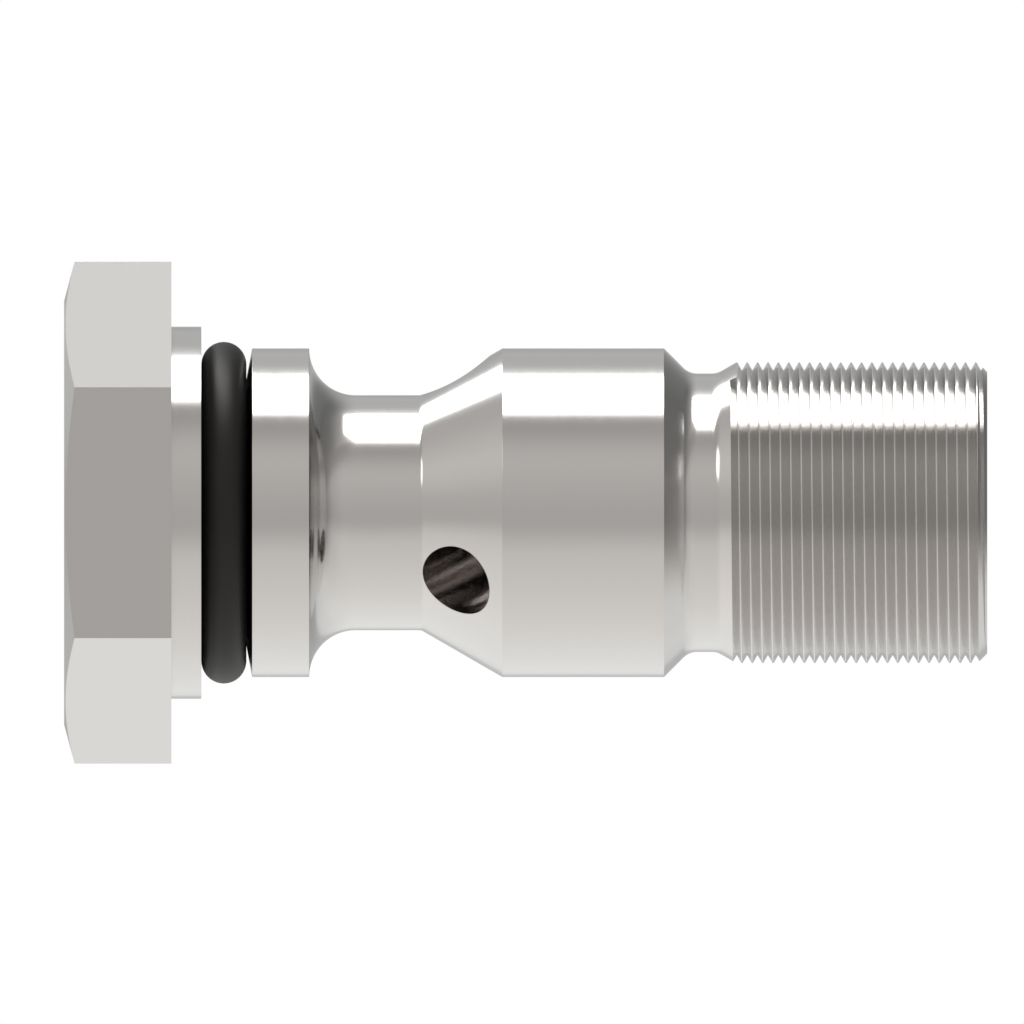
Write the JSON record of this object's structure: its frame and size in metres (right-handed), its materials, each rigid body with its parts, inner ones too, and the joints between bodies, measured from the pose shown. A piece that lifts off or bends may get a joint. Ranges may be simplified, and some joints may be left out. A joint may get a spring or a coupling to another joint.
{
  "type": "banjo bolt",
  "caption": "Hollow hexagon-head banjo bolt with an O-ring, a waisted flow section, oblique cross holes into a blind axial bore, and a fine-threaded end.",
  "frame": {"origin": "centre of the hexagon head's outer face, on which the bolt stands", "axes": "+Z along the bolt axis from the head to the threaded tip; two flats of the hexagon face -Y and +Y"},
  "size_m": [0.037, 0.032, 0.068],
  "materials": {
    "stainless_steel": "fine turned, bright",
    "nitrile_rubber": "moulded, satin"
  },
  "bodies": {
    "root": {"hollow_bolt": "stainless_steel", "o_ring": "nitrile_rubber"}
  },
  "joints": []
}
